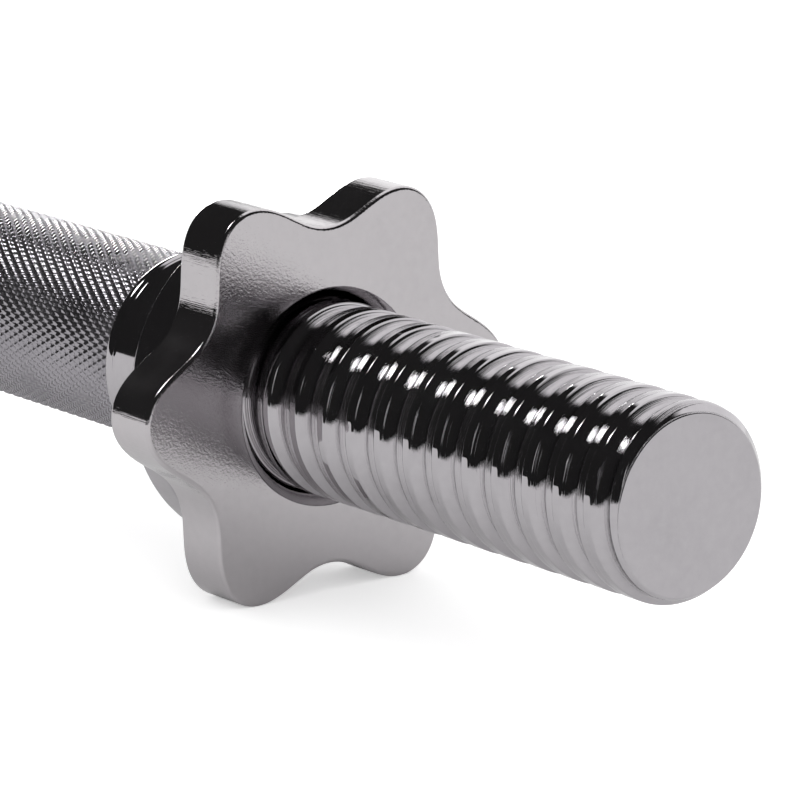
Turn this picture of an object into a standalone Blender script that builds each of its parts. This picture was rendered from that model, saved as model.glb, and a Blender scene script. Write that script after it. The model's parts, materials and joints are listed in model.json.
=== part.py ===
"""Adjustable dumbbell handle: one knurled bar with a coarse thread on each end, a pinned inner
collar at each side of the grip, and a star nut that screws along each thread.

Metres, +Z up. The bar lies along X with its middle at the origin, and the object rests on two
lobes of each nut. Every piece of an end is modelled along its own +Z, which points out of the bar,
and is then parented to that end's empty.
"""

import math

import bmesh
import bpy

# Bar
BAR_LENGTH = 0.350
BAR_DIAMETER = 0.025
GRIP_LENGTH = 0.152
END_CHAMFER = 0.0013

# Thread: one right-hand start, cut as a round groove
THREAD_PITCH = 0.00565
THREAD_START_DEG = 40.0
GROOVE_DEPTH = 0.0011
GROOVE_RADIUS = 0.0017
GROOVE_LEAD_IN = 0.0015
GROOVE_OVERRUN = 0.004

# Inner collar
COLLAR_LENGTH = 0.0212
COLLAR_FLANGE_HEIGHT = 0.0075
COLLAR_FLANGE_THICKNESS = 0.0055
COLLAR_NECK_WALL = 0.0012
COLLAR_NECK_LENGTH = 0.006
COLLAR_EDGE_ROUND = 0.0008

# Cross pin that holds the inner collar on the bar
PIN_DIAMETER = 0.004
PIN_BELOW_SURFACE = 0.0003
PIN_CHAMFER = 0.0004
PIN_LEAN_DEG = 22.0

# Star nut
NUT_THICKNESS = 0.008
NUT_LOBES = 6
NUT_MEAN_RADIUS = 0.0254
NUT_LOBE_HEIGHT = 0.0035
NUT_EDGE_ROUND = 0.0005
NUT_COUNTERSINK_DEPTH = 0.0014
NUT_COUNTERSINK_WIDTH = 0.0013

# Rubber ring set into the nut's inner face, between the inner thread and the outline's valleys
GASKET_SEAT_INNER_WALL = 0.0005
GASKET_SEAT_OUTER_WALL = 0.0012
GASKET_DEPTH_IN_NUT = 0.002
GASKET_PROUD = 0.0005

# Clearances
TOUCH_GAP = 0.0003
COLLAR_BORE_CLEARANCE = 0.0003
PIN_HOLE_CLEARANCE = 0.0002
NUT_BORE_CLEARANCE = 0.0004
NUT_THREAD_CLEARANCE = 0.0005
GASKET_SEAT_CLEARANCE = 0.0003

# Facets
ROUND_STEPS = 32
HELIX_STEPS_PER_TURN = 16
ARC_STEPS = 4
STAR_STEPS = 72
PIN_STEPS = 24
CUTTER_MARGIN = 0.002

# What follows from the sizes above
BAR_RADIUS = BAR_DIAMETER / 2
BAR_HALF = BAR_LENGTH / 2
COLLAR_INNER_END = GRIP_LENGTH / 2
COLLAR_FACE = COLLAR_INNER_END + COLLAR_LENGTH
GASKET_FACE = COLLAR_FACE + TOUCH_GAP
NUT_BACK = GASKET_FACE + GASKET_PROUD
COLLAR_BORE_RADIUS = BAR_RADIUS + COLLAR_BORE_CLEARANCE
COLLAR_NECK_RADIUS = COLLAR_BORE_RADIUS + COLLAR_NECK_WALL
COLLAR_FLANGE_RADIUS = COLLAR_NECK_RADIUS + COLLAR_FLANGE_HEIGHT
PIN_PLACE = COLLAR_INNER_END + COLLAR_NECK_LENGTH / 2
NUT_BORE_RADIUS = BAR_RADIUS + NUT_BORE_CLEARANCE
NUT_VALLEY_RADIUS = NUT_MEAN_RADIUS - NUT_LOBE_HEIGHT
GROOVE_CENTRE_RADIUS = BAR_RADIUS - GROOVE_DEPTH + GROOVE_RADIUS
RIDGE_RADIUS = GROOVE_RADIUS - NUT_THREAD_CLEARANCE
SEAT_INNER_RADIUS = GROOVE_CENTRE_RADIUS + RIDGE_RADIUS + GASKET_SEAT_INNER_WALL
SEAT_OUTER_RADIUS = NUT_VALLEY_RADIUS - GASKET_SEAT_OUTER_WALL
GASKET_INNER_RADIUS = SEAT_INNER_RADIUS + GASKET_SEAT_CLEARANCE
GASKET_OUTER_RADIUS = SEAT_OUTER_RADIUS - GASKET_SEAT_CLEARANCE

CHROME_COLOUR = (0.72, 0.72, 0.73)
STEEL_COLOUR = (0.55, 0.55, 0.56)
RUBBER_COLOUR = (0.025, 0.025, 0.027)


def clear_scene():
    """Remove every object of the start-up scene."""
    for obj in list(bpy.data.objects):
        bpy.data.objects.remove(obj, do_unlink=True)


def new_collection(name, hidden=False):
    """A collection in the scene; a hidden one keeps the cutters out of a render."""
    collection = bpy.data.collections.new(name)
    bpy.context.scene.collection.children.link(collection)
    collection.hide_render = hidden
    return collection


def new_material(name, colour, metallic, roughness):
    """A plain Principled material."""
    material = bpy.data.materials.new(name)
    material.use_nodes = True
    shader = material.node_tree.nodes["Principled BSDF"]
    shader.inputs["Base Color"].default_value = (*colour, 1.0)
    shader.inputs["Metallic"].default_value = metallic
    shader.inputs["Roughness"].default_value = roughness
    material.diffuse_color = (*colour, 1.0)
    return material


def add_object(name, mesh, collection, material=None):
    """Put a mesh in the scene under a name, smooth where it is round."""
    obj = bpy.data.objects.new(name, mesh)
    collection.objects.link(obj)
    if material:
        mesh.materials.append(material)
    mesh.shade_smooth()
    mesh.set_sharp_from_angle(angle=math.radians(35))
    return obj


def add_cutter(name, mesh, cutters):
    """A helper solid that only Booleans use."""
    obj = bpy.data.objects.new(name, mesh)
    cutters.objects.link(obj)
    obj.hide_render = True
    obj.display_type = "WIRE"
    return obj


def boolean(obj, other, operation):
    """Add an exact Boolean with another object."""
    modifier = obj.modifiers.new(other.name, "BOOLEAN")
    modifier.operation = operation
    modifier.object = other
    modifier.solver = "EXACT"


def place(obj, end, distance):
    """Stand a piece on an end's axis, a distance out from the bar's middle."""
    obj.parent = end
    obj.location = (0.0, 0.0, distance)


def arc(centre_r, centre_z, radius_r, radius_z, from_deg, to_deg):
    """Points (r, z) along a quarter of an ellipse, both ends included."""
    points = []
    for step in range(ARC_STEPS + 1):
        angle = math.radians(from_deg + (to_deg - from_deg) * step / ARC_STEPS)
        points.append((centre_r + radius_r * math.cos(angle), centre_z + radius_z * math.sin(angle)))
    return points


def turned_mesh(name, profile, closed):
    """A mesh turned about Z from (r, z) points that run down the outer side."""
    mesh = bpy.data.meshes.new(name + "_profile")
    count = len(profile)
    edges = [(index, index + 1) for index in range(count - 1)]
    if closed:
        edges.append((count - 1, 0))
    mesh.from_pydata([(r, 0.0, z) for r, z in profile], edges, [])
    guide = bpy.data.objects.new(name + "_guide", mesh)
    bpy.context.scene.collection.objects.link(guide)
    screw = guide.modifiers.new("Turn", "SCREW")
    screw.axis = "Z"
    screw.steps = ROUND_STEPS
    screw.render_steps = ROUND_STEPS
    screw.use_merge_vertices = True
    screw.merge_threshold = 0.00001
    return mesh_from(guide, name)


def mesh_from(guide, name):
    """The finished mesh of a helper object, which is then removed."""
    graph = bpy.context.evaluated_depsgraph_get()
    mesh = bpy.data.meshes.new_from_object(guide.evaluated_get(graph))
    mesh.name = name
    bpy.data.objects.remove(guide, do_unlink=True)
    weld(mesh)
    return mesh


def weld(mesh):
    """Join coincident points and turn every face outwards."""
    solid = bmesh.new()
    solid.from_mesh(mesh)
    bmesh.ops.remove_doubles(solid, verts=solid.verts, dist=0.000001)
    bmesh.ops.recalc_face_normals(solid, faces=solid.faces)
    solid.to_mesh(mesh)
    solid.free()


def rod_mesh(name, radius, length, segments):
    """A round rod centred on the origin, along Z."""
    mesh = bpy.data.meshes.new(name)
    solid = bmesh.new()
    bmesh.ops.create_cone(
        solid, cap_ends=True, segments=segments, radius1=radius, radius2=radius, depth=length
    )
    solid.to_mesh(mesh)
    solid.free()
    return mesh


def thread_angle(distance):
    """Angle of the thread's centre line at a distance from the bar's middle."""
    turns = (distance - BAR_HALF) / THREAD_PITCH
    return math.radians(THREAD_START_DEG) + math.tau * turns


def helix_mesh(name, start, stop, tube_radius, origin):
    """A round rope along the thread's centre line, from start to stop, seen from origin."""
    curve = bpy.data.curves.new(name + "_path", "CURVE")
    curve.dimensions = "3D"
    curve.bevel_depth = tube_radius
    curve.bevel_resolution = 1
    curve.use_fill_caps = True
    count = math.ceil((stop - start) / THREAD_PITCH * HELIX_STEPS_PER_TURN)
    spline = curve.splines.new("POLY")
    spline.points.add(count)
    for index, point in enumerate(spline.points):
        distance = start + (stop - start) * index / count
        angle = thread_angle(distance)
        across = GROOVE_CENTRE_RADIUS * math.cos(angle)
        up = GROOVE_CENTRE_RADIUS * math.sin(angle)
        point.co = (across, up, distance - origin, 1.0)
    guide = bpy.data.objects.new(name + "_guide", curve)
    bpy.context.scene.collection.objects.link(guide)
    return mesh_from(guide, name)


def pin_angle():
    """The pin's turn about the bar's axis, from the piece's own X."""
    return math.radians(180.0 - PIN_LEAN_DEG)


def pin_turn():
    """Rotation that lays a rod's Z across the bar, leaning as the pin does."""
    return (0.0, math.radians(90.0), pin_angle())


def pin_hole(name, end, cutters):
    """The round cutter of a pin's hole, through neck and bar."""
    radius = PIN_DIAMETER / 2 + PIN_HOLE_CLEARANCE
    length = 2 * (COLLAR_NECK_RADIUS + CUTTER_MARGIN)
    cutter = add_cutter(name, rod_mesh(name, radius, length, PIN_STEPS), cutters)
    place(cutter, end, PIN_PLACE)
    cutter.rotation_euler = pin_turn()
    return cutter


def add_bar(ends, collection, cutters, chrome):
    """The bar: a chamfered rod with both threads and both pin holes cut."""
    profile = [
        (0.0, BAR_HALF),
        (BAR_RADIUS - END_CHAMFER, BAR_HALF),
        (BAR_RADIUS, BAR_HALF - END_CHAMFER),
        (BAR_RADIUS, END_CHAMFER - BAR_HALF),
        (BAR_RADIUS - END_CHAMFER, -BAR_HALF),
        (0.0, -BAR_HALF),
    ]
    bar = add_object("bar", turned_mesh("bar", profile, closed=False), collection, chrome)
    bar.rotation_euler = (0.0, math.radians(90.0), 0.0)
    for side, end in ends.items():
        name = "thread_groove_" + side
        start = COLLAR_FACE - GROOVE_LEAD_IN
        groove = helix_mesh(name, start, BAR_HALF + GROOVE_OVERRUN, GROOVE_RADIUS, 0.0)
        cutter = add_cutter(name, groove, cutters)
        place(cutter, end, 0.0)
        boolean(bar, cutter, "DIFFERENCE")
        boolean(bar, pin_hole("bar_pin_hole_" + side, end, cutters), "DIFFERENCE")
    return bar


def collar_profile():
    """Closed (r, z) outline of the inner collar, from its flange face down to the grip."""
    bore = COLLAR_BORE_RADIUS
    flange = COLLAR_FLANGE_RADIUS
    neck = COLLAR_NECK_RADIUS
    edge = COLLAR_EDGE_ROUND
    flange_back = COLLAR_LENGTH - COLLAR_FLANGE_THICKNESS
    rim_top = arc(flange - edge, COLLAR_LENGTH - edge, edge, edge, 90, 0)
    rim_bottom = arc(flange - edge, flange_back + edge, edge, edge, 0, -60)
    flare = arc(
        rim_bottom[-1][0], COLLAR_NECK_LENGTH, rim_bottom[-1][0] - neck,
        rim_bottom[-1][1] - COLLAR_NECK_LENGTH, 90, 180,
    )
    neck_end = arc(neck - edge, edge, edge, edge, 0, -90)
    return [(bore, COLLAR_LENGTH)] + rim_top + rim_bottom + flare[1:] + neck_end + [(bore, 0.0)]


def add_collar(side, end, collection, cutters, chrome):
    """The inner collar: a neck against the grip that flares to the flange plates rest on."""
    name = "inner_collar_" + side
    collar = add_object(name, turned_mesh(name, collar_profile(), closed=True), collection, chrome)
    place(collar, end, COLLAR_INNER_END)
    boolean(collar, pin_hole("collar_pin_hole_" + side, end, cutters), "DIFFERENCE")
    return collar


def add_pin(side, end, collection, steel):
    """The cross pin through collar and bar, its ends chamfered and just below the neck."""
    name = "collar_pin_" + side
    length = 2 * (COLLAR_NECK_RADIUS - PIN_BELOW_SURFACE)
    mesh = rod_mesh(name, PIN_DIAMETER / 2, length, PIN_STEPS)
    pin = add_object(name, mesh, collection, steel)
    place(pin, end, PIN_PLACE)
    pin.rotation_euler = pin_turn()
    bevel = pin.modifiers.new("Chamfer", "BEVEL")
    bevel.width = PIN_CHAMFER
    bevel.segments = 1
    bevel.limit_method = "ANGLE"
    bevel.angle_limit = math.radians(60)
    return pin


def star_radius(angle):
    """Radius of the nut's outline at an angle: a circle with even waves."""
    return NUT_MEAN_RADIUS + NUT_LOBE_HEIGHT * math.cos(NUT_LOBES * angle)


def star_mesh(name):
    """The nut's plate before its bore is cut, its back face at z = 0."""
    curve = bpy.data.curves.new(name + "_outline", "CURVE")
    curve.dimensions = "2D"
    curve.fill_mode = "BOTH"
    curve.extrude = NUT_THICKNESS / 2
    spline = curve.splines.new("POLY")
    spline.points.add(STAR_STEPS - 1)
    spline.use_cyclic_u = True
    for index, point in enumerate(spline.points):
        angle = math.tau * index / STAR_STEPS
        # A lobe points along the piece's Y, so that two of them reach down to the floor.
        radius = star_radius(angle - math.radians(90.0))
        point.co = (radius * math.cos(angle), radius * math.sin(angle), 0.0, 1.0)
    guide = bpy.data.objects.new(name + "_guide", curve)
    bpy.context.scene.collection.objects.link(guide)
    mesh = mesh_from(guide, name)
    for vertex in mesh.vertices:
        vertex.co.z += NUT_THICKNESS / 2
    return mesh


def nut_bore_mesh(name):
    """The cutter of the nut's bore, which opens to a cone at the outer face."""
    cone_end = NUT_THICKNESS - NUT_COUNTERSINK_DEPTH
    slope = NUT_COUNTERSINK_WIDTH / NUT_COUNTERSINK_DEPTH
    above = NUT_BORE_RADIUS + NUT_COUNTERSINK_WIDTH + slope * CUTTER_MARGIN
    profile = [
        (0.0, NUT_THICKNESS + CUTTER_MARGIN),
        (above, NUT_THICKNESS + CUTTER_MARGIN),
        (NUT_BORE_RADIUS, cone_end),
        (NUT_BORE_RADIUS, -CUTTER_MARGIN),
        (0.0, -CUTTER_MARGIN),
    ]
    return turned_mesh(name, profile, closed=False)


def ring_profile(inner, outer, bottom, top):
    """Closed (r, z) outline of a square-cornered ring."""
    return [(inner, top), (outer, top), (outer, bottom), (inner, bottom)]


def gasket_seat_mesh(name):
    """The ring-shaped groove in the nut's inner face."""
    top = GASKET_DEPTH_IN_NUT + TOUCH_GAP
    profile = ring_profile(SEAT_INNER_RADIUS, SEAT_OUTER_RADIUS, -CUTTER_MARGIN, top)
    return turned_mesh(name, profile, closed=True)


def add_nut(side, end, collection, cutters, chrome):
    """The star nut: a waved plate with a countersunk bore, an inner thread and a gasket seat."""
    name = "star_nut_" + side
    nut = add_object(name, star_mesh(name), collection, chrome)
    place(nut, end, NUT_BACK)
    bevel = nut.modifiers.new("Edge round", "BEVEL")
    bevel.width = NUT_EDGE_ROUND
    bevel.segments = 2
    bevel.limit_method = "ANGLE"
    bevel.angle_limit = math.radians(60)

    bore = add_cutter("nut_bore_" + side, nut_bore_mesh("nut_bore_" + side), cutters)
    place(bore, end, NUT_BACK)
    boolean(nut, bore, "DIFFERENCE")

    seat = add_cutter("gasket_seat_" + side, gasket_seat_mesh("gasket_seat_" + side), cutters)
    place(seat, end, NUT_BACK)
    boolean(nut, seat, "DIFFERENCE")

    first = NUT_BACK + RIDGE_RADIUS
    last = NUT_BACK + NUT_THICKNESS - NUT_COUNTERSINK_DEPTH - RIDGE_RADIUS
    ridge_name = "nut_thread_" + side
    ridge = add_cutter(ridge_name, helix_mesh(ridge_name, first, last, RIDGE_RADIUS, NUT_BACK), cutters)
    place(ridge, end, NUT_BACK)
    boolean(nut, ridge, "UNION")
    return nut


def add_gasket(side, end, collection, rubber):
    """The rubber ring that stands just proud of the nut's inner face."""
    name = "nut_gasket_" + side
    thickness = GASKET_PROUD + GASKET_DEPTH_IN_NUT
    profile = ring_profile(GASKET_INNER_RADIUS, GASKET_OUTER_RADIUS, 0.0, thickness)
    gasket = add_object(name, turned_mesh(name, profile, closed=True), collection, rubber)
    place(gasket, end, GASKET_FACE)
    return gasket


def add_end(side, turn_deg, collection):
    """The empty of one end, its +Z out of the bar."""
    end = bpy.data.objects.new("end_" + side, None)
    collection.objects.link(end)
    end.rotation_euler = (0.0, math.radians(turn_deg), 0.0)
    return end


def main():
    """Build the handle."""
    clear_scene()
    collection = new_collection("adjustable_dumbbell")
    cutters = new_collection("cutters", hidden=True)
    chrome = new_material("chrome", CHROME_COLOUR, 1.0, 0.08)
    steel = new_material("pin_steel", STEEL_COLOUR, 1.0, 0.35)
    rubber = new_material("rubber", RUBBER_COLOUR, 0.0, 0.75)
    ends = {"right": add_end("right", 90.0, collection), "left": add_end("left", -90.0, collection)}
    bpy.context.view_layer.update()
    add_bar(ends, collection, cutters, chrome)
    for side, end in ends.items():
        add_collar(side, end, collection, cutters, chrome)
        add_pin(side, end, collection, steel)
        add_nut(side, end, collection, cutters, chrome)
        add_gasket(side, end, collection, rubber)
    bpy.context.view_layer.update()


main()
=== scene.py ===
# %% [markdown]
# # A screw-lock dumbbell handle
#
# The handle is one steel bar with a knurled grip in the middle and a coarse rounded thread on each
# end. A pinned collar stands at each side of the grip, and a star nut runs along each thread.
# Everything but the rubber rings and the pins is chrome, so shapes matter more than colours: a
# mirror shows every flaw in a curve. Each piece is therefore a fine surface worked out with numpy.

# %% Load the frame
import json

import bmesh
import bpy
import numpy as np
from mathutils import Matrix, Vector


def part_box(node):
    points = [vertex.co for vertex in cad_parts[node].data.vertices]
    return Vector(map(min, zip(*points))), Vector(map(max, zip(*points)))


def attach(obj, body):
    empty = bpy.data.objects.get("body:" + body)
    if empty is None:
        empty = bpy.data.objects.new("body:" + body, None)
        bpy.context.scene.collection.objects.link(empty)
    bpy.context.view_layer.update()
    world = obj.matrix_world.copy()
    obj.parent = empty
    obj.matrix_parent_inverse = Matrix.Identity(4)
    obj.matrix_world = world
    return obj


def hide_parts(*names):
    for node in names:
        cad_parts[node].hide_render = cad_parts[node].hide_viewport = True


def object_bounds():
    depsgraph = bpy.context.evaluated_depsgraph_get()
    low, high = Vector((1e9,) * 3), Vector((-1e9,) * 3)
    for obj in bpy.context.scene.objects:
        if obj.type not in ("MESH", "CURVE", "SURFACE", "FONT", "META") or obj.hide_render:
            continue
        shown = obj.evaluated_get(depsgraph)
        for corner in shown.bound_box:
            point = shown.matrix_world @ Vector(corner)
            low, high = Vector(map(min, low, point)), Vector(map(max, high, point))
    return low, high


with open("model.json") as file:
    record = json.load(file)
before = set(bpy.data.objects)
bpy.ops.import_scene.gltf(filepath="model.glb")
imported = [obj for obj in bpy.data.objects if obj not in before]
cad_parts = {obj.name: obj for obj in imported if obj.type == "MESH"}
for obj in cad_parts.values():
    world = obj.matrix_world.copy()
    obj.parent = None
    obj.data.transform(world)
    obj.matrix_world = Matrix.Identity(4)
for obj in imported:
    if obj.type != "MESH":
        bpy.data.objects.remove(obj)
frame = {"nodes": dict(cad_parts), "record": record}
cad_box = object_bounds()
print("frame", sorted(frame["nodes"]))

# %% [markdown]
# ## Sizes
#
# The lengths come from the frame's own boxes, so the fine pieces stand exactly where the solids
# do. The thread's pitch comes from the coupling between a nut's turn and its travel. The sizes of
# small details, such as how round an edge is, are given beside the piece that needs them.

# %% Sizes from the frame
MM = 0.001
bar_low, bar_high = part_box("bar")
collar_low, collar_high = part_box("inner_collar_right")
pin_low, pin_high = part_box("collar_pin_right")
nut_low, nut_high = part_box("star_nut_right")
gasket_low, gasket_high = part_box("nut_gasket_right")
BAR_HALF = bar_high.x
BAR_RADIUS = bar_high.y
COLLAR_START = collar_low.x
COLLAR_LENGTH = collar_high.x - collar_low.x
FLANGE_RADIUS = collar_high.y
NUT_BACK = nut_low.x
NUT_THICKNESS = nut_high.x - nut_low.x
NUT_TIP_RADIUS = nut_high.y
GASKET_BACK = gasket_low.x
GASKET_LENGTH = gasket_high.x - gasket_low.x
GASKET_RADIUS = gasket_high.y
PITCH = frame["record"]["behaviour"]["couplings"][0]["ratio"] * 2 * np.pi
FLOOR = cad_box[0][2]
print("bar half length", round(BAR_HALF, 4), "pitch", round(PITCH, 5), "floor", round(FLOOR, 4))

# %% [markdown]
# ## Surfaces from arrays
#
# Every metal piece is a grid of points whose columns run once round the bar's axis. One helper
# turns such a grid into a mesh: it joins the last column to the first, welds the points that fall
# together at a pole or a trimmed edge, and points the faces outwards. The same grid serves both
# ends of the bar, because both threads are right-handed: each end is the other one turned round.

# %% Two ends of one bar
def turn_right(points):
    """Local (x, y, z) with z along the axis becomes (z, y, -x): the axis points to +X."""
    return np.stack([points[..., 2], points[..., 1], -points[..., 0]], axis=-1)


def turn_left(points):
    """Local (x, y, z) with z along the axis becomes (-z, y, x): the axis points to -X."""
    return np.stack([-points[..., 2], points[..., 1], points[..., 0]], axis=-1)


ENDS = {"right": turn_right, "left": turn_left}
print("ends", list(ENDS))

# %% From quads to a closed mesh
WELD = 1e-7
print("points nearer than", WELD, "m are welded")


def closed_mesh(name, points, quads, smooth=True, values=None):
    """A mesh from points and quads: doubles welded, open rims capped, faces pointing outwards.

    values is an optional vector for each point, kept on the mesh as the attribute streak."""
    mesh = bpy.data.meshes.new(name)
    used, index = np.unique(quads, return_inverse=True)
    corners = index.reshape(-1).astype(np.int32)
    places = points.reshape(-1, 3)[used].astype(np.float32)
    mesh.vertices.add(len(used))
    mesh.vertices.foreach_set("co", places.reshape(-1))
    mesh.loops.add(len(corners))
    mesh.loops.foreach_set("vertex_index", corners)
    mesh.polygons.add(len(corners) // 4)
    mesh.polygons.foreach_set("loop_start", np.arange(0, len(corners), 4, dtype=np.int32))
    if values is not None:
        vectors = values.reshape(-1, 3)[used].astype(np.float32)
        streak = mesh.attributes.new("streak", "FLOAT_VECTOR", "POINT")
        streak.data.foreach_set("vector", vectors.reshape(-1))
    mesh.update(calc_edges=True)
    solid = bmesh.new()
    solid.from_mesh(mesh)
    bmesh.ops.remove_doubles(solid, verts=solid.verts, dist=WELD)
    bmesh.ops.dissolve_degenerate(solid, edges=solid.edges, dist=WELD / 10)
    bmesh.ops.holes_fill(solid, edges=[edge for edge in solid.edges if edge.is_boundary])
    bmesh.ops.recalc_face_normals(solid, faces=solid.faces)
    open_edges = sum(not edge.is_manifold for edge in solid.edges)
    solid.to_mesh(mesh)
    solid.free()
    mesh.validate()
    if smooth:
        mesh.shade_smooth()
    triangles = sum(len(face.vertices) - 2 for face in mesh.polygons)
    print(f"{name}: {len(mesh.vertices)} points, {triangles} triangles, {open_edges} open edges")
    return mesh


def grid_mesh(name, grid, loop=False, values=None, meets=None):
    """A closed mesh from grid[row, column] = (x, y, z): each point joins its neighbours in quads.

    Columns wrap round; rows wrap too when loop is true, as on a ring. On a helix the last column
    doesn't meet its own row but one a turn further on: meets gives that row for each row."""
    rows, columns = grid.shape[:2]
    index = np.arange(rows * columns).reshape(rows, columns)
    right = np.roll(index, -1, axis=1)
    if meets is not None:
        right[:, -1] = index[meets, 0]
    below = np.roll(index, -1, axis=0)
    beyond = np.roll(right, -1, axis=0)
    quads = np.stack([index, right, beyond, below], axis=-1)
    if not loop:
        quads = quads[:-1]
    return closed_mesh(name, grid, quads.reshape(-1, 4), values=values)


# %% Turned shapes
def turned(profile, columns=192):
    """A turned surface: each profile point (r, z) becomes a circle (r cos a, r sin a, z)."""
    angle = np.arange(columns) * 2 * np.pi / columns
    r, z = np.asarray(profile, float).T[:, :, None]
    return np.stack([r * np.cos(angle), r * np.sin(angle), z + 0 * angle], axis=-1)


def arc_points(centre_r, centre_z, radius_r, radius_z, from_deg, to_deg, steps=10):
    """Points (r, z) on an ellipse arc: the centre plus radius times (cos, sin) of even angles."""
    angle = np.radians(np.linspace(from_deg, to_deg, steps))
    return list(zip(centre_r + radius_r * np.cos(angle), centre_z + radius_z * np.sin(angle)))


def smooth_min(a, b, blend):
    """The lower of two heights, with the corner between them rounded over about the blend."""
    near = np.clip(blend - np.abs(a - b), 0, None)
    return np.minimum(a, b) - near * near / (4 * blend)


def smooth_step(value):
    """0 below 0 and 1 above 1, with 3t^2 - 2t^3 between."""
    t = np.clip(value, 0, 1)
    return t * t * (3 - 2 * t)


print("a corner of height 0 rounded over 1 falls to", smooth_min(0.0, 0.0, 1.0))

# %% Putting a piece in the scene
def add_piece(name, mesh, material, body, node):
    """Put a finished mesh in the scene, riding on a body in place of a CAD node."""
    piece = bpy.data.objects.new(name, mesh)
    bpy.context.scene.collection.objects.link(piece)
    mesh.materials.clear()
    mesh.materials.append(material)
    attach(piece, body)
    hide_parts(node)


# %% [markdown]
# ## Finishes
#
# Chrome is never perfectly even. It copies the marks of whatever shaped the steel below it: fine
# lines where a tool ran round, straight lines where a belt ran along, and a soft orange-peel on a
# stamped face. Two effects are shared by all the metals, so each is a node group: one makes marks
# that can be stretched in any direction, the other makes patches of dulled, handled surface.

# %% Node helpers
def new_group(name, inputs, outputs):
    """An empty shader node group with named inputs and outputs."""
    group = bpy.data.node_groups.new(name, "ShaderNodeTree")
    for title, kind, value in inputs:
        socket = group.interface.new_socket(title, in_out="INPUT", socket_type=kind)
        if value is not None:
            socket.default_value = value
    for title in outputs:
        group.interface.new_socket(title, in_out="OUTPUT", socket_type="NodeSocketFloat")
    return group, group.nodes.new("NodeGroupInput"), group.nodes.new("NodeGroupOutput")


def noise_node(tree, detail, roughness):
    """A noise texture with its detail set."""
    noise = tree.nodes.new("ShaderNodeTexNoise")
    noise.inputs["Detail"].default_value = detail
    noise.inputs["Roughness"].default_value = roughness
    return noise


print("node groups so far", len(bpy.data.node_groups))

# %% Tool marks
def make_tool_marks():
    """Height = noise of (place x stretch) at a fineness, so marks run where the stretch is low."""
    group, entry, leave = new_group(
        "tool_marks",
        [
            ("Vector", "NodeSocketVector", None),
            ("Stretch", "NodeSocketVector", (1.0, 1.0, 1.0)),
            ("Fineness", "NodeSocketFloat", 1000.0),
        ],
        ["Height"],
    )
    scaled = group.nodes.new("ShaderNodeVectorMath")
    scaled.operation = "MULTIPLY"
    noise = noise_node(group, detail=3.0, roughness=0.6)
    group.links.new(entry.outputs["Vector"], scaled.inputs[0])
    group.links.new(entry.outputs["Stretch"], scaled.inputs[1])
    group.links.new(scaled.outputs["Vector"], noise.inputs["Vector"])
    group.links.new(entry.outputs["Fineness"], noise.inputs["Scale"])
    group.links.new(noise.outputs["Fac"], leave.inputs["Height"])
    return group


tool_marks = make_tool_marks()
print("group", tool_marks.name)

# %% Handled surface
SPECK_FINENESS = 900.0
PATCH_LOW, PATCH_HIGH = 0.35, 0.7


def make_handled():
    """Roughness = clean to worn by broad patches; Tone = the same patches broken by specks."""
    group, entry, leave = new_group(
        "handled_surface",
        [
            ("Vector", "NodeSocketVector", None),
            ("Patches", "NodeSocketFloat", 60.0),
            ("Clean", "NodeSocketFloat", 0.05),
            ("Worn", "NodeSocketFloat", 0.12),
        ],
        ["Roughness", "Tone"],
    )
    patch = noise_node(group, detail=4.0, roughness=0.55)
    speck = noise_node(group, detail=2.0, roughness=0.5)
    speck.inputs["Scale"].default_value = SPECK_FINENESS
    spread = group.nodes.new("ShaderNodeMapRange")
    spread.inputs["From Min"].default_value = PATCH_LOW
    spread.inputs["From Max"].default_value = PATCH_HIGH
    tone = group.nodes.new("ShaderNodeMath")
    tone.operation = "MULTIPLY"
    group.links.new(entry.outputs["Vector"], patch.inputs["Vector"])
    group.links.new(entry.outputs["Vector"], speck.inputs["Vector"])
    group.links.new(entry.outputs["Patches"], patch.inputs["Scale"])
    group.links.new(patch.outputs["Fac"], spread.inputs["Value"])
    group.links.new(entry.outputs["Clean"], spread.inputs["To Min"])
    group.links.new(entry.outputs["Worn"], spread.inputs["To Max"])
    group.links.new(spread.outputs["Result"], leave.inputs["Roughness"])
    group.links.new(patch.outputs["Fac"], tone.inputs[0])
    group.links.new(speck.outputs["Fac"], tone.inputs[1])
    group.links.new(tone.outputs["Value"], leave.inputs["Tone"])
    return group


handled_surface = make_handled()
print("group", handled_surface.name)

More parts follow.
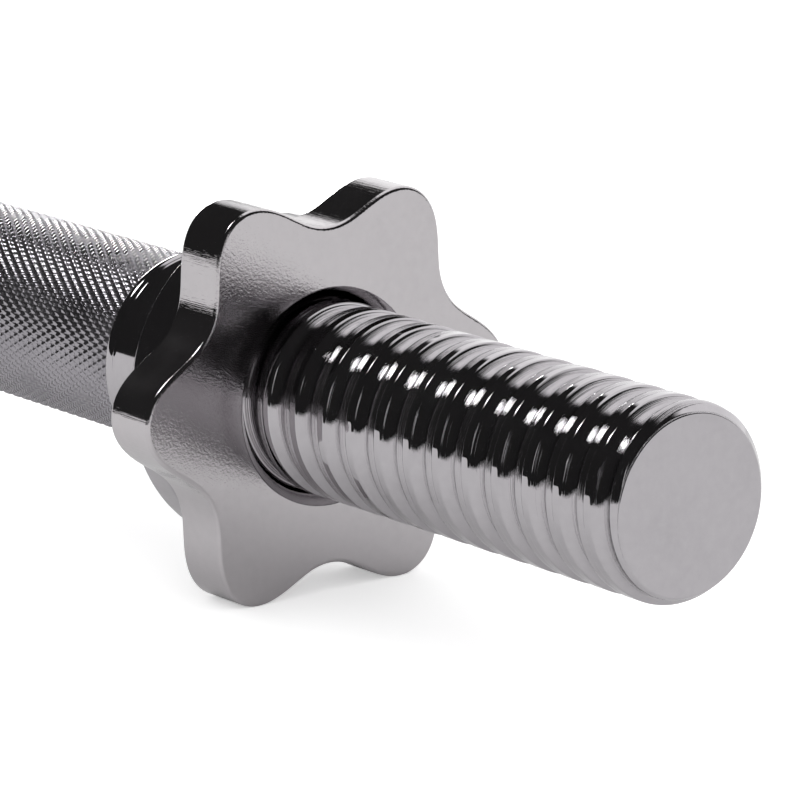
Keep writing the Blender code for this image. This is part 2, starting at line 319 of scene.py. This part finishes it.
# %% One recipe for all finishes
def finish(name, light, dark, clean, worn, patches, marks, metallic=1.0, attribute=None):
    """A Principled material: two tones mixed by wear, and one bump for each kind of mark.

    marks lists (stretch, fineness, height in metres); each bump feeds the next one's normal. The
    first reads the attribute named, where there is one, and the others read Object coordinates."""
    material = bpy.data.materials.new(name)
    material.use_nodes = True
    tree = material.node_tree
    shader = tree.nodes["Principled BSDF"]
    shader.inputs["Metallic"].default_value = metallic
    place = tree.nodes.new("ShaderNodeTexCoord")
    wear = tree.nodes.new("ShaderNodeGroup")
    wear.node_tree = handled_surface
    wear.inputs["Patches"].default_value = patches
    wear.inputs["Clean"].default_value = clean
    wear.inputs["Worn"].default_value = worn
    tree.links.new(place.outputs["Object"], wear.inputs["Vector"])
    tree.links.new(wear.outputs["Roughness"], shader.inputs["Roughness"])
    tones = tree.nodes.new("ShaderNodeMix")
    tones.data_type = "RGBA"
    tones.inputs["A"].default_value = (*light, 1)
    tones.inputs["B"].default_value = (*dark, 1)
    tree.links.new(wear.outputs["Tone"], tones.inputs["Factor"])
    tree.links.new(tones.outputs["Result"], shader.inputs["Base Color"])
    normal = None
    for number, (stretch, fineness, height) in enumerate(marks):
        mark = tree.nodes.new("ShaderNodeGroup")
        mark.node_tree = tool_marks
        mark.inputs["Stretch"].default_value = stretch
        mark.inputs["Fineness"].default_value = fineness
        source = place.outputs["Object"]
        if attribute and number == 0:
            reader = tree.nodes.new("ShaderNodeAttribute")
            reader.attribute_name = attribute
            source = reader.outputs["Vector"]
        tree.links.new(source, mark.inputs["Vector"])
        bump = tree.nodes.new("ShaderNodeBump")
        bump.inputs["Distance"].default_value = height
        tree.links.new(mark.outputs["Height"], bump.inputs["Height"])
        if normal:
            tree.links.new(normal, bump.inputs["Normal"])
        normal = bump.outputs["Normal"]
    if normal:
        tree.links.new(normal, shader.inputs["Normal"])
    print("finish", name)
    return material


# %% [markdown]
# ## Chrome of each kind
#
# The thread's grooves keep the fine lines of the tool that formed them, so their marks follow the
# helix through an attribute worked out with the shape. The star plate's marks are drawn out along
# the axis: on its rim they become straight lines across the edge, and on its flat face they become
# an orange-peel. The collar was turned, so its marks are drawn out round it. The knurl is only a
# little dull. All the marks are hundredths of a millimetre high or less: chrome shows the least.

# %% Metals and rubber
CHROME_LIGHT = (0.43, 0.412, 0.43)
CHROME_DARK = (0.33, 0.318, 0.332)
EVEN = (1.0, 1.0, 1.0)
ALONG_X = (0.04, 1.0, 1.0)
ROUND_X = (1.0, 0.04, 0.04)
ALONG_Z = (1.0, 1.0, 0.1)
thread_chrome = finish(
    "thread_chrome", CHROME_LIGHT, CHROME_DARK, clean=0.03, worn=0.09, patches=90.0,
    marks=[(EVEN, 5.0, 0.06 * MM), (EVEN, 900.0, 0.004 * MM)], attribute="streak",
)
plate_chrome = finish(
    "plate_chrome", (0.49, 0.468, 0.482), (0.4, 0.383, 0.395), clean=0.05, worn=0.13,
    patches=70.0, marks=[(ALONG_X, 3200.0, 0.03 * MM), (EVEN, 1200.0, 0.009 * MM)],
)
collar_chrome = finish(
    "collar_chrome", CHROME_LIGHT, CHROME_DARK, clean=0.04, worn=0.1, patches=80.0,
    marks=[(ROUND_X, 2500.0, 0.003 * MM)],
)
grip_chrome = finish(
    "grip_chrome", (0.35, 0.335, 0.36), (0.22, 0.21, 0.23), clean=0.2, worn=0.32,
    patches=120.0, marks=[(EVEN, 1500.0, 0.004 * MM)],
)
pin_steel = finish(
    "pin_steel", (0.5, 0.49, 0.48), (0.34, 0.33, 0.32), clean=0.22, worn=0.4,
    patches=300.0, marks=[(ALONG_Z, 3000.0, 0.006 * MM)],
)
ring_rubber = finish(
    "ring_rubber", (0.035, 0.035, 0.036), (0.016, 0.016, 0.017), clean=0.6, worn=0.85,
    patches=200.0, marks=[(EVEN, 3500.0, 0.03 * MM)], metallic=0.0,
)

# %% [markdown]
# ## Threaded ends
#
# The thread is formed by rolling, which squeezes a round groove into the bar and pushes the metal
# up into two lips that meet in a seam on the crest. One lip leans a little and the other is flat.
# The rows of this surface follow the helix, so every row keeps its place across the groove all the
# way along, and the rows that run past the ends are trimmed to a circle and welded. After one turn
# a row is one pitch further on, so the last column joins the first one turn's rows later.

# %% Across the thread
THREAD_START = np.radians(40)
GROOVE_DEPTH = 1.1 * MM
GROOVE_ROUND = 1.7 * MM
GROOVE_HALF_WIDTH = 1.59 * MM
GROOVE_FIRST = COLLAR_START + COLLAR_LENGTH - 1.5 * MM
GROOVE_FADE = 1.5 * MM
CREST_ROUND = 0.08 * MM
SEAM = 2.7 * MM
SEAM_WIDTH = 0.05 * MM
SEAM_NOTCH = 0.14 * MM
NOTCH_REACH = 0.11 * MM
LIP_LEAN = 0.11
SHOULDER_PLACE = -1.2 * MM
SHOULDER_WIDTH = 0.13 * MM
SHOULDER_HEIGHT = 0.05 * MM


def groove_centre(angle):
    """Axial place of the groove at an angle, on the turn that ends at the bar's end face."""
    return BAR_HALF + PITCH * (angle - THREAD_START) / (2 * np.pi)


def thread_radius(offset, z):
    """Radius across the thread: the lower of two crest lips and a round groove.

    The groove is a circle's arc with a slight shoulder on one flank. The first lip falls by its
    lean up to the seam's V notch, and the second is level with the bar. The depth fades in where
    the groove starts."""
    past = offset % PITCH
    first_lip = BAR_RADIUS - LIP_LEAN * np.clip(past - GROOVE_HALF_WIDTH, 0, None)
    lift = smooth_step((past - SEAM) / SEAM_WIDTH)
    notch = SEAM_NOTCH * np.clip(1 - np.abs(past - SEAM) / NOTCH_REACH, 0, 1)
    crest = first_lip + (BAR_RADIUS - first_lip) * lift - notch
    side = (offset + PITCH / 2) % PITCH - PITCH / 2
    inside = np.sqrt(np.clip(GROOVE_ROUND**2 - side**2, 0, None))
    depth = GROOVE_DEPTH * smooth_step((z - GROOVE_FIRST) / GROOVE_FADE)
    shoulder = SHOULDER_HEIGHT * np.exp(-(((side - SHOULDER_PLACE) / SHOULDER_WIDTH) ** 2))
    groove = BAR_RADIUS - depth + GROOVE_ROUND - inside + shoulder
    return smooth_min(crest, groove, CREST_ROUND)


one_pitch = thread_radius(np.linspace(0, PITCH, 200), BAR_HALF) / MM
print("thread radius", round(one_pitch.min(), 2), "to", round(one_pitch.max(), 2), "mm")

# %% Rows along the helix
THREAD_COLUMNS = 132
GROOVE_ROWS = np.linspace(-1.72, 1.72, 27) * MM
FIRST_LIP_ROWS = np.array([1.9, 2.15, 2.4, 2.55, 2.6, 2.65, 2.7]) * MM
SECOND_LIP_ROWS = np.array([2.72, 2.75, 2.81, 2.9, 3.2, 3.5, 3.75]) * MM
ROWS_ACROSS = np.concatenate([GROOVE_ROWS, FIRST_LIP_ROWS, SECOND_LIP_ROWS])
TURNS = np.arange(-16, 3)
END_CHAMFER = 1.3 * MM
TRIM_START = GROOVE_FIRST - 0.5 * MM
TRIM_END = BAR_HALF - END_CHAMFER - 0.3 * MM
SPARE = 0.6 * MM


def thread_rows():
    """z = groove centre + whole pitches + offset, trimmed between the plain foot and the chamfer.

    Rows within the spare length past a trim are kept: they fall on its circle and are welded."""
    angle = np.arange(THREAD_COLUMNS) * 2 * np.pi / THREAD_COLUMNS
    free = groove_centre(angle) + (TURNS[:, None] * PITCH + ROWS_ACROSS).reshape(-1, 1)
    keep = (free.max(axis=1) > TRIM_START - SPARE) & (free.min(axis=1) < TRIM_END + SPARE)
    z = np.clip(free[keep], TRIM_START, TRIM_END)
    return angle, z, thread_radius(z - groove_centre(angle), z)


print("helix", thread_rows()[1].shape, "rows and columns")

# %% Foot, chamfer and end face
FOOT_STEP = 0.1 * MM
CONE_STEP = 0.05 * MM
CONE_BLEND = 0.25 * MM
FACE_ROUND = 0.15 * MM
FACE_ROUND_WIDTH = 0.18 * MM
FACE_ROUND_INSET = 0.12 * MM
DRIFT_LENGTH = 60 * MM


def end_face():
    """(r, z) rows of the end: a small round from the chamfer, then the flat face to its middle."""
    rim = BAR_RADIUS - END_CHAMFER
    bend = arc_points(
        rim - FACE_ROUND_INSET, BAR_HALF - FACE_ROUND, FACE_ROUND_WIDTH, FACE_ROUND, 30, 90, 6
    )
    return np.array(bend + [(rim * share, BAR_HALF) for share in (0.975, 0.9, 0.6, 0.3, 0.0)])


def thread_streaks(height, angle):
    """(cos, sin) of the place across the thread and a slow drift along the bar.

    It winds once round for each pitch, so the marks join up from turn to turn. It stands still on
    the second lip and on the end face, which leaves both smooth."""
    past = (height - groove_centre(angle)) % PITCH
    across = np.minimum(past, SEAM) + np.clip(past - (PITCH - GROOVE_HALF_WIDTH), 0, None)
    wind = 2 * np.pi * across / (SEAM + GROOVE_HALF_WIDTH)
    wind[-len(end_face()) :] = 0
    return np.stack([np.cos(wind), np.sin(wind), height / DRIFT_LENGTH], axis=-1)


def threaded_end():
    """The thread's rows with a plain foot at the collar and a chamfered, flat end face.

    Returns the grid, its streak attribute, and the row that each row meets after a turn."""
    angle, z, r = thread_rows()
    foot = [(BAR_RADIUS * share, COLLAR_START) for share in (0.0, 0.5, 1.0)]
    foot = np.array(foot + [(BAR_RADIUS, TRIM_START - FOOT_STEP)])
    cone_z = np.linspace(TRIM_END + CONE_STEP, BAR_HALF - FACE_ROUND, 14)[:, None] + 0 * angle
    cone = BAR_RADIUS - (cone_z - (BAR_HALF - END_CHAMFER))
    cone_r = smooth_min(thread_radius(cone_z - groove_centre(angle), cone_z), cone, CONE_BLEND)
    face = end_face()
    radius = np.vstack([foot[:, :1] + 0 * angle, r, cone_r, face[:, :1] + 0 * angle])
    height = np.vstack([foot[:, 1:] + 0 * angle, z, cone_z, face[:, 1:] + 0 * angle])
    grid = np.stack([radius * np.cos(angle), radius * np.sin(angle), height], axis=-1)
    meets = np.arange(len(grid))
    helix = slice(len(foot), len(foot) + len(z))
    meets[helix] = np.minimum(meets[helix] + len(ROWS_ACROSS), len(foot) + len(z) - 1)
    return grid, thread_streaks(height, angle), meets


# %% Both threaded ends
thread_grid, thread_streak, thread_meets = threaded_end()
for side, turn in ENDS.items():
    name = "threaded_end_" + side
    mesh = grid_mesh(name, turn(thread_grid), values=thread_streak, meets=thread_meets)
    add_piece(name, mesh, thread_chrome, "handle", "bar")

# %% [markdown]
# ## Knurled grip
#
# A knurl is two crossing sets of grooves pressed into the bar, which leave rows of small blunt
# pyramids. A bump would look flat against the outline, so the teeth are real. The mesh is laid on
# the knurl's own lattice: a point is where a right-hand line meets a left-hand one, and one tooth
# needs only nine points.

# %% Knurl lattice
KNURL_STARTS = 65
KNURL_LENGTH = 2.13 * MM
KNURL_HEIGHT = 0.36 * MM
TOOTH_STEPS = np.array([0.0, 0.34, 0.66])
GRIP_HALF = COLLAR_START - 0.3 * MM
FADE_LENGTH = 0.9 * MM
END_SHARE = 0.25


def tooth(value):
    """Height share across a tooth: 0 in the groove, straight flanks, and a flat top."""
    t = value % 1.0
    return np.clip(np.minimum(t, 1 - t) / TOOTH_STEPS[1], 0, 1)


def grip_surface():
    """Line i meets line j at angle = pi (u + v) / starts and x = length (u - v) / 2.

    u and v are the lines' places counted in teeth. Once round the bar adds the number of starts
    to both, so a column counts i - j and the rows wrap. The teeth sink towards the grip's ends."""
    reach = len(TOOTH_STEPS) * (int(np.ceil(2 * GRIP_HALF / KNURL_LENGTH)) + 2)
    line, apart = np.meshgrid(
        np.arange(len(TOOTH_STEPS) * KNURL_STARTS), np.arange(-reach, reach + 1), indexing="ij"
    )
    other = line - apart
    u = line // len(TOOTH_STEPS) + TOOTH_STEPS[line % len(TOOTH_STEPS)]
    v = other // len(TOOTH_STEPS) + TOOTH_STEPS[other % len(TOOTH_STEPS)]
    free = KNURL_LENGTH * (u - v) / 2
    angle = np.pi * (u + v) / KNURL_STARTS
    x = np.clip(free, -GRIP_HALF, GRIP_HALF)
    highest = END_SHARE + (1 - END_SHARE) * smooth_step((GRIP_HALF - np.abs(x)) / FADE_LENGTH)
    share = np.minimum(tooth(u), tooth(v))
    radius = BAR_RADIUS - KNURL_HEIGHT * (1 - np.minimum(share, highest))
    points = np.stack([x, radius * np.cos(angle), radius * np.sin(angle)], axis=-1)
    here = np.arange(line.size).reshape(line.shape)
    after = np.roll(here, -1, axis=0)
    quads = np.stack([here[:, 1:-1], after[:, 2:], after[:, 1:-1], here[:, :-2]], axis=-1)
    quads = quads.reshape(-1, 4)
    corners = free.reshape(-1)[quads]
    kept = (corners.max(axis=1) > -GRIP_HALF) & (corners.min(axis=1) < GRIP_HALF)
    return points, quads[kept]


points, quads = grip_surface()
mesh = closed_mesh("grip", points, quads, smooth=False)
add_piece("grip", mesh, grip_chrome, "handle", "bar")

# %% [markdown]
# ## Inner collars
#
# Each collar is a turned ring: a neck with a raised bead against the grip, and a flare out to the
# flange that the plates rest on. A turned piece is one profile carried round the axis. The cross
# pin's hole is then drilled through the neck with a Boolean, because a round hole doesn't follow
# the rows and columns of a turned grid.

# %% Collar profile
NECK_RADIUS = 14.0 * MM
NECK_LENGTH = 6.0 * MM
COLLAR_BORE = 12.8 * MM
FLANGE_THICKNESS = 5.5 * MM
FLANGE_EDGE = 0.8 * MM
BEAD_DROP = 0.28 * MM
BEAD_WIDTH = 1.5 * MM
NECK_EDGE = 0.3 * MM
HOLD = 0.1 * MM


def collar_profile():
    """Closed (r, z) outline: flange face, rounded rim, flare, neck, bead and bore.

    A point held close beside each bend keeps the flat next to it flat when it is shaded."""
    flange_back = COLLAR_LENGTH - FLANGE_THICKNESS
    neck = NECK_RADIUS - BEAD_DROP
    rim = FLANGE_RADIUS - FLANGE_EDGE
    front, back = COLLAR_LENGTH - FLANGE_EDGE, flange_back + FLANGE_EDGE
    points = [(COLLAR_BORE, COLLAR_LENGTH), (COLLAR_BORE + HOLD, COLLAR_LENGTH)]
    points += [(rim - HOLD, COLLAR_LENGTH)]
    points += arc_points(rim, front, FLANGE_EDGE, FLANGE_EDGE, 90, 0)
    points += [(FLANGE_RADIUS, front - HOLD), (FLANGE_RADIUS, back + HOLD)]
    points += arc_points(rim, back, FLANGE_EDGE, FLANGE_EDGE, 0, -60)
    last_r, last_z = points[-1]
    points += arc_points(last_r, NECK_LENGTH, last_r - neck, last_z - NECK_LENGTH, 90, 180, 28)[1:]
    points += [(neck, NECK_LENGTH - 2 * HOLD), (neck, BEAD_WIDTH + 5 * HOLD)]
    points += arc_points(neck, BEAD_WIDTH / 2, BEAD_DROP, BEAD_WIDTH / 2, 90, -90, 14)
    points += arc_points(neck - NECK_EDGE, NECK_EDGE, NECK_EDGE, NECK_EDGE, -20, -90, 4)
    points += [(COLLAR_BORE, 0.0)]
    return np.array(points)


print("collar profile", len(collar_profile()), "points")

# %% Drilling
PIN_CLEARANCE = 0.2 * MM
PIN_HOLE_RADIUS = (pin_high.x - pin_low.x) / 2 + PIN_CLEARANCE
PIN_PLACE = (pin_high.x + pin_low.x) / 2
PIN_LEAN = np.radians(22)
DRILL_COLUMNS = 48
DRILL_REACH = 20 * MM


def pin_hole(turn, side):
    """A rod across the bar at the pin's place: a circle carried along the pin's own line."""
    angle = np.arange(DRILL_COLUMNS) * 2 * np.pi / DRILL_COLUMNS
    lean = np.pi - PIN_LEAN
    along = np.array([np.cos(lean), np.sin(lean), 0])
    across = np.array([-np.sin(lean), np.cos(lean), 0])
    ring = PIN_HOLE_RADIUS * (np.cos(angle)[:, None] * across + np.sin(angle)[:, None] * (0, 0, 1))
    middle = ring * 0 + (0, 0, PIN_PLACE)
    reach = DRILL_REACH * along
    grid = np.array([middle - reach, middle + ring - reach, middle + ring + reach, middle + reach])
    return bpy.data.objects.new("hole", grid_mesh("pin_hole_" + side, turn(grid)))


def drilled(mesh, cutter):
    """The mesh with the cutter's volume taken out, as a new mesh."""
    blank = bpy.data.objects.new("blank", mesh)
    for item in (blank, cutter):
        bpy.context.scene.collection.objects.link(item)
    hole = blank.modifiers.new("Hole", "BOOLEAN")
    hole.object = cutter
    hole.solver = "EXACT"
    seen = blank.evaluated_get(bpy.context.evaluated_depsgraph_get())
    result = bpy.data.meshes.new_from_object(seen)
    result.name = mesh.name
    bpy.data.objects.remove(blank)
    bpy.data.objects.remove(cutter)
    return result


print("pin hole", round(2 * PIN_HOLE_RADIUS / MM, 2), "mm across")

# %% Both collars
collar_grid = turned(collar_profile() + (0, COLLAR_START))
for side, turn in ENDS.items():
    name = "inner_collar_ring_" + side
    mesh = drilled(grid_mesh(name, turn(collar_grid), loop=True), pin_hole(turn, side))
    print("drilled", side, len(mesh.polygons), "faces")
    add_piece(name, mesh, collar_chrome, "handle", "inner_collar_" + side)

# %% [markdown]
# ## Cross pins
#
# The pins keep their own solids, which are already round with chamfered ends, and only get a
# ground steel finish in place of the plain one.

# %% Pins
for side in ENDS:
    pin = frame["nodes"]["collar_pin_" + side]
    for slot in pin.material_slots:
        slot.material = pin_steel
    print(pin.name, len(pin.material_slots), "slot")

# %% [markdown]
# ## Star nuts
#
# A star nut is a thick plate cut to six rounded lobes, with its edges just broken, a countersunk
# bore, a ridge inside that runs in the bar's groove, and a seat for the rubber ring in its back.
# The rows of this grid go once round the plate's section, so all of that is one closed surface.

# %% Outline of the star
NUT_COLUMNS = 360
NUT_LOBES = 6
NUT_WAVES = (3.48 * MM, 0.137 * MM, -0.079 * MM)
NUT_ANGLE = np.arange(NUT_COLUMNS) * 2 * np.pi / NUT_COLUMNS


def star_curve(inset):
    """The outline moved inwards along its normal: a mean circle plus three even waves."""
    lobe = NUT_LOBES * (NUT_ANGLE - np.pi / 2)
    waves = sum(wave * np.cos(k * lobe) for k, wave in enumerate(NUT_WAVES, 1))
    r = NUT_TIP_RADIUS - sum(NUT_WAVES) + waves
    curve = np.stack([r * np.cos(NUT_ANGLE), r * np.sin(NUT_ANGLE)], axis=-1)
    along = np.roll(curve, -1, axis=0) - np.roll(curve, 1, axis=0)
    along /= np.linalg.norm(along, axis=1, keepdims=True)
    return curve - inset * np.stack([along[:, 1], -along[:, 0]], axis=-1)


def circle(radius):
    """A circle on the nut's columns; the radius may differ from column to column."""
    return np.stack([radius * np.cos(NUT_ANGLE), radius * np.sin(NUT_ANGLE)], axis=-1)


def lifted(curve, z):
    """A flat curve lifted to a height."""
    return np.column_stack([curve, np.full(len(curve), z)])


reach = np.linalg.norm(star_curve(0.0), axis=1) / MM
print("star radius", round(reach.min(), 2), "to", round(reach.max(), 2), "mm")

# %% Bore and edge of the nut
NUT_BORE = 12.9 * MM
NUT_THREAD_GAP = 0.5 * MM
RIDGE_FADE = 1.0 * MM
RIDGE_BLEND = 0.15 * MM
NUT_EDGE = 0.5 * MM


def bore_rows(top):
    """The bore with its inner thread: the bar's groove, a gap smaller, faded in at both ends."""
    rows = []
    ridge_round = GROOVE_ROUND - NUT_THREAD_GAP
    for z in np.linspace(0.0, top, 26):
        offset = (z + NUT_BACK - groove_centre(NUT_ANGLE) + PITCH / 2) % PITCH - PITCH / 2
        inside = np.sqrt(np.clip(ridge_round**2 - offset**2, 0, None))
        ridge = BAR_RADIUS - GROOVE_DEPTH + GROOVE_ROUND - inside
        fade = smooth_step(z / RIDGE_FADE) * smooth_step((top - z) / RIDGE_FADE)
        crest = smooth_min(ridge, np.full_like(ridge, NUT_BORE), RIDGE_BLEND)
        rows.append(lifted(circle(NUT_BORE - fade * (NUT_BORE - crest)), z))
    return rows


def edge_rows(top):
    """The rounded outer edge: a quarter circle from the face down to the side."""
    bends = np.radians(np.linspace(0, 90, 7))
    return [
        lifted(star_curve(NUT_EDGE * (1 - np.sin(bend))), top - NUT_EDGE * (1 - np.cos(bend)))
        for bend in bends
    ]


print("bore", round(2 * NUT_BORE / MM, 1), "mm across")

# %% The whole nut
SINK_DEPTH = 1.4 * MM
SINK_WIDTH = 1.3 * MM
NUT_HOLD = 0.06 * MM
GASKET_INNER = 15.1 * MM
SEAT_GAP = 0.3 * MM


def nut_grid():
    """Closed rows: bore, countersink, front face, side, back face and the ring's seat."""
    top = NUT_THICKNESS
    rows = bore_rows(top - SINK_DEPTH)
    for share in (0.04, 0.5, 0.93, 0.975, 1.0):
        rows.append(lifted(circle(NUT_BORE + SINK_WIDTH * share), top - SINK_DEPTH * (1 - share)))
    inner = circle((NUT_BORE + SINK_WIDTH) * 1.01)
    outer = star_curve(NUT_EDGE + NUT_HOLD)
    for share in (0.0, 0.15, 0.4, 0.7, 0.9, 1.0):
        rows.append(lifted(inner + (outer - inner) * share, top))
    front = edge_rows(top)
    rows += front
    for z in (top - NUT_EDGE - NUT_HOLD, top / 2, NUT_EDGE + NUT_HOLD):
        rows.append(lifted(star_curve(0.0), z))
    rows += [row * (1, 1, -1) + (0, 0, top) for row in reversed(front)]
    seat_outer = circle(GASKET_RADIUS + SEAT_GAP)
    seat_inner = circle(GASKET_INNER - SEAT_GAP)
    seat_top = GASKET_LENGTH - (NUT_BACK - GASKET_BACK) + SEAT_GAP
    for share in (0.0, 0.5, 0.95, 1.0):
        rows.append(lifted(outer + (seat_outer - outer) * share, 0.0))
    for curve, z in ((seat_outer, seat_top), (seat_inner, seat_top), (seat_inner, 0.0)):
        rows.append(lifted(curve, z))
    return np.array(rows) + (0, 0, NUT_BACK)


star_grid = nut_grid()
for side, turn in ENDS.items():
    name = "star_plate_" + side
    mesh = grid_mesh(name, turn(star_grid), loop=True)
    add_piece(name, mesh, plate_chrome, "nut_" + side, "star_nut_" + side)

# %% [markdown]
# ## Rubber rings
#
# A moulded ring of flat section, its corners slightly rounded, sits in the back of each nut and
# stands half a millimetre proud, so that it grips the plate. It is a turned piece like the collar.

# %% Rings
RING_COLUMNS = 128
RING_EDGE = 0.25 * MM


def ring_profile():
    """Closed (r, z) outline of a rectangle with four rounded corners."""
    low, high = GASKET_INNER + RING_EDGE, GASKET_RADIUS - RING_EDGE
    bottom, top = RING_EDGE, GASKET_LENGTH - RING_EDGE
    corners = []
    for r, z, start in ((low, top, 180), (high, top, 90), (high, bottom, 0), (low, bottom, -90)):
        corners += arc_points(r, z, RING_EDGE, RING_EDGE, start, start - 90, 5)
    return np.array(corners)


ring_grid = turned(ring_profile() + (0, GASKET_BACK), RING_COLUMNS)
for side, turn in ENDS.items():
    name = "rubber_ring_" + side
    mesh = grid_mesh(name, turn(ring_grid), loop=True)
    add_piece(name, mesh, ring_rubber, "gasket_" + side, "nut_gasket_" + side)

# %% [markdown]
# ## Floor, camera and light
#
# The handle lies on a plain pale floor. The camera looks at the threaded end from above and from
# the side with a long lens, so the lines of the bar hardly draw together. Chrome shows what is
# round it, so the studio is made as its reflections need: bright on one side, dark on the other,
# a small soft lamp that puts a spark on each turn of the thread, a low one for the rims that face
# away, and a wide dim card for the thread's flanks. Diffuse light is even, and the floor is lifted
# a little where it is seen directly, which keeps it pale and its shadows faint.

# %% Floor
FLOOR_HALF = 9.0
FLOOR_LIFT = 0.4
floor_mesh = bpy.data.meshes.new("floor")
corners = [(x * FLOOR_HALF, y * FLOOR_HALF, FLOOR) for x, y in ((-1, -1), (1, -1), (1, 1), (-1, 1))]
floor_mesh.from_pydata(corners, [], [(0, 1, 2, 3)])
floor = bpy.data.objects.new("floor", floor_mesh)
bpy.context.scene.collection.objects.link(floor)
floor_paint = finish(
    "floor_paint", (0.86, 0.86, 0.86), (0.84, 0.84, 0.84), clean=0.85, worn=0.95,
    patches=6.0, marks=[], metallic=0.0,
)
floor_mesh.materials.append(floor_paint)
paint = floor_paint.node_tree
paint_shader = paint.nodes["Principled BSDF"]
paint_shader.inputs["Emission Color"].default_value = (FLOOR_LIFT, FLOOR_LIFT, FLOOR_LIFT, 1)
seen_directly = paint.nodes.new("ShaderNodeLightPath").outputs["Is Camera Ray"]
paint.links.new(seen_directly, paint_shader.inputs["Emission Strength"])
print("floor at", round(FLOOR, 4))

# %% Camera
SENSOR_WIDTH = 36.0
LENS = 242.1
NEAR_CLIP = 0.01
FROM_BAR_END = (0.4567, -0.4087, 0.1644)
CAMERA_RIGHT = (0.6242, 0.7813, 0.0)
CAMERA_UP = (-0.1878, 0.1500, 0.9707)
CAMERA_BACK = (0.7584, -0.6059, 0.2404)
camera_data = bpy.data.cameras.new("camera")
camera_data.sensor_width = SENSOR_WIDTH
camera_data.lens = LENS
camera_data.clip_start = NEAR_CLIP
camera = bpy.data.objects.new("camera", camera_data)
bpy.context.scene.collection.objects.link(camera)
place = Vector(np.add((BAR_HALF, 0, 0), FROM_BAR_END))
axes = Matrix((CAMERA_RIGHT, CAMERA_UP, CAMERA_BACK)).transposed().to_4x4()
camera.matrix_world = Matrix.Translation(place) @ axes
bpy.context.scene.camera = camera
bpy.context.scene.view_settings.view_transform = "Standard"
print("camera", [round(value, 3) for value in place])

# %% Studio
# Each edge of the bright wall: a direction, and how far towards it the wall begins and is full.
BRIGHT_WALL = 1.32
DARK_ROOM = 0.022
EVEN_LIGHT = 1.28
WALL_EDGES = (
    ((0.605, 0.735, 0.304), -0.02, 0.03),
    ((0.0, 1.0, 0.0), 0.05, 0.15),
    ((-1.0, 0.0, 0.0), -0.4, -0.3),
)
world = bpy.data.worlds.new("studio")
bpy.context.scene.world = world
world.use_nodes = True
nodes, links = world.node_tree.nodes, world.node_tree.links
direction = nodes.new("ShaderNodeTexCoord")
level = None
for facing, outside, within in WALL_EDGES:
    side_of = nodes.new("ShaderNodeVectorMath")
    side_of.operation = "DOT_PRODUCT"
    side_of.inputs[1].default_value = facing
    edge = nodes.new("ShaderNodeMapRange")
    edge.interpolation_type = "SMOOTHSTEP"
    edge.inputs["From Min"].default_value = outside
    edge.inputs["From Max"].default_value = within
    edge.inputs["To Min"].default_value = DARK_ROOM
    edge.inputs["To Max"].default_value = BRIGHT_WALL
    if level:
        links.new(level, edge.inputs["To Max"])
    links.new(direction.outputs["Generated"], side_of.inputs[0])
    links.new(side_of.outputs["Value"], edge.inputs["Value"])
    level = edge.outputs["Result"]
path = nodes.new("ShaderNodeLightPath")
choose = nodes.new("ShaderNodeMix")
choose.inputs["A"].default_value = EVEN_LIGHT
links.new(path.outputs["Is Glossy Ray"], choose.inputs["Factor"])
links.new(level, choose.inputs["B"])
links.new(choose.outputs["Result"], nodes["Background"].inputs["Strength"])
nodes["Background"].inputs["Color"].default_value = (1, 1, 1, 1)
print("studio with", len(WALL_EDGES), "edges to its bright wall")

# %% Lamps
LAMP_DISTANCE = 2.0


def add_lamp(name, direction, size, energy):
    """A square soft lamp at a distance from the bar's end, seen only in reflections."""
    towards = Vector(direction).normalized()
    data = bpy.data.lights.new(name, "AREA")
    data.size = size
    data.energy = energy
    lamp = bpy.data.objects.new(name, data)
    lamp.location = Vector((BAR_HALF, 0, 0)) + towards * LAMP_DISTANCE
    lamp.rotation_euler = towards.to_track_quat("Z", "Y").to_euler()
    lamp.visible_diffuse = False
    bpy.context.scene.collection.objects.link(lamp)
    print(name, "at", [round(value, 2) for value in lamp.location])


add_lamp("thread_lamp", (-0.567, -0.3245, 0.757), size=0.42, energy=8.0)
add_lamp("rim_lamp", (-0.903, 0.418, 0.098), size=0.36, energy=8.0)
add_lamp("flank_card", (0.958, -0.183, 0.216), size=0.5, energy=0.9)
